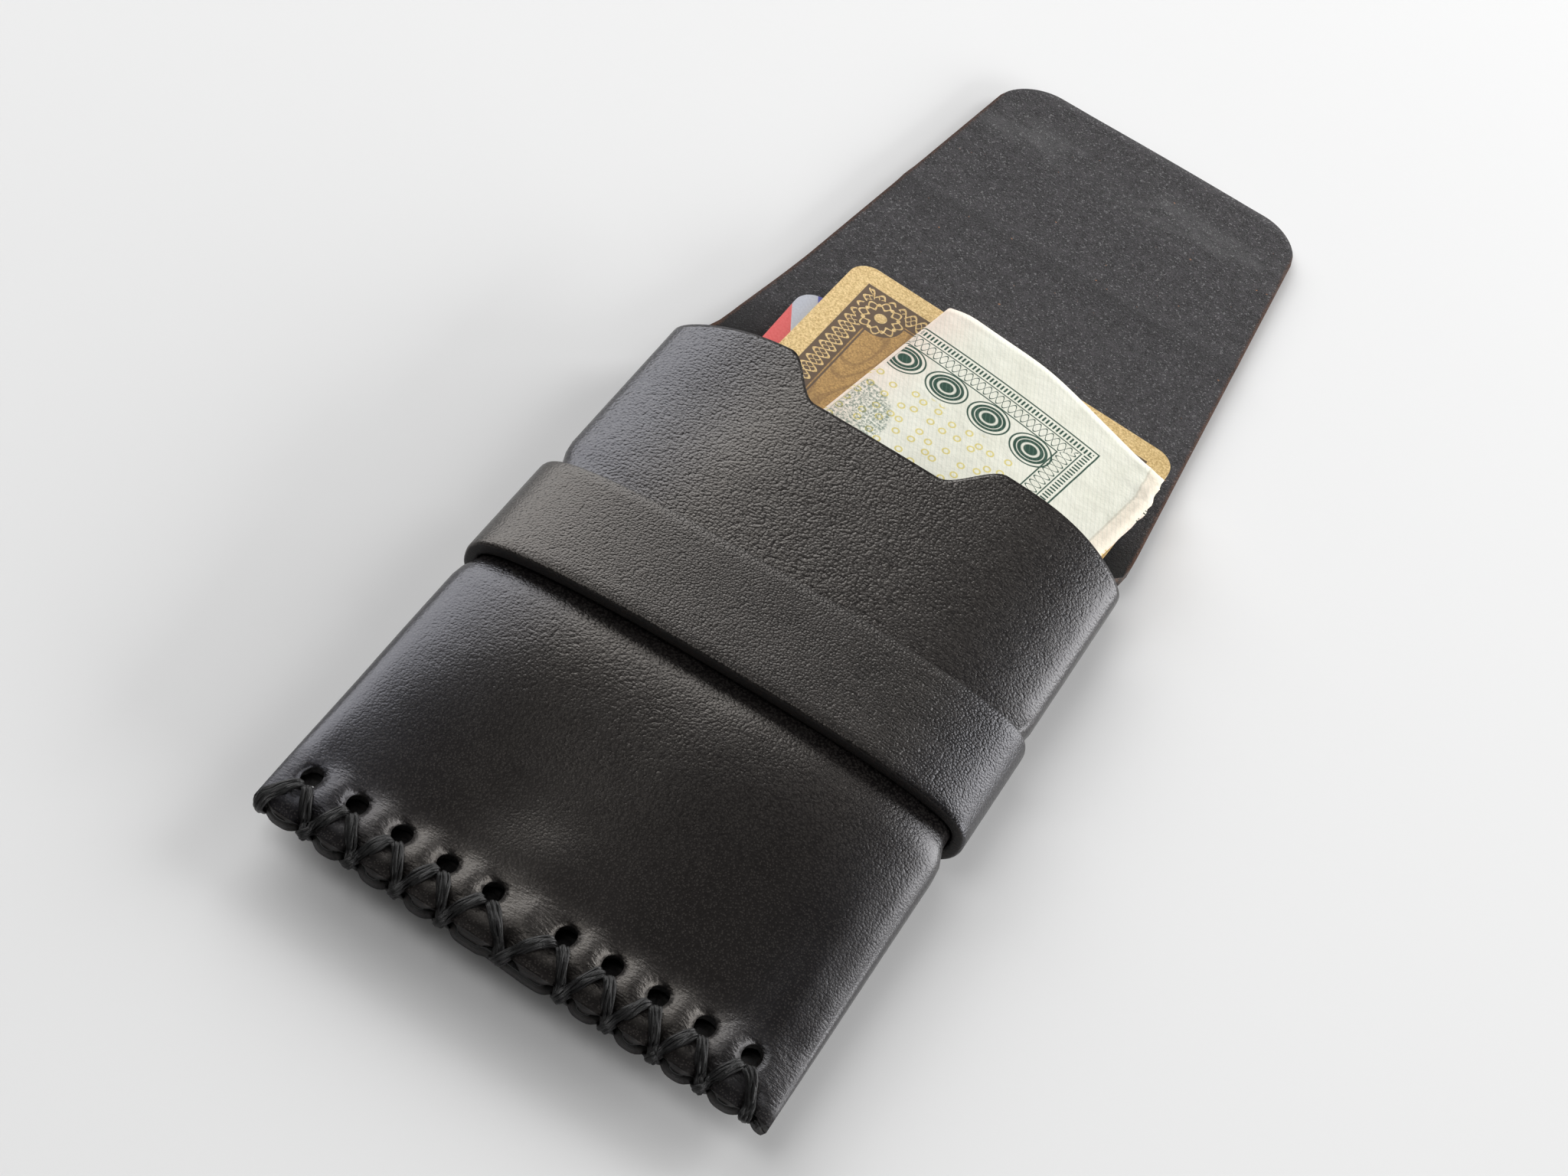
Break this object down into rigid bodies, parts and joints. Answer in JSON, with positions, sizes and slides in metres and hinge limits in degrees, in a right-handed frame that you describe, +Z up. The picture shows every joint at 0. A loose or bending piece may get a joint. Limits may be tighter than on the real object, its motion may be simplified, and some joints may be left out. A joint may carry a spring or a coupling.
{
  "type": "leather card wallet",
  "caption": "Slim black leather card wallet with an open flap, a keeper strap, cross-laced bottom seam, and two cards and a folded note standing in its pocket.",
  "frame": {"origin": "middle of the outline on the surface that the wallet lies on", "axes": "+Z up out of the front panel, +Y from the laced seam towards the flap tip, +X to the right seen from above with the flap away"},
  "size_m": [0.0758, 0.1933, 0.0146],
  "materials": {
    "pocket_leather": "semi-gloss pebbled grain",
    "flap_leather": "matt flesh side",
    "strap_leather": "smooth satin",
    "waxed_cord": "waxed",
    "striped_card": "glossy print",
    "gold_card": "metallic print",
    "note_paper": "matt crumpled paper"
  },
  "bodies": {
    "wallet": {"pocket": "pocket_leather", "strap": "strap_leather", "lacing_cord": "waxed_cord", "lower_card": "striped_card", "gold_card": "gold_card", "folded_note": "note_paper"},
    "flap": {"flap": "flap_leather"}
  },
  "joints": [
    {"name": "flap_fold", "type": "hinge", "parent": "wallet", "child": "flap", "pos_m": [0, 0.04414, 0.007], "axis": [1, 0, 0], "range_deg": [0, 170]}
  ]
}
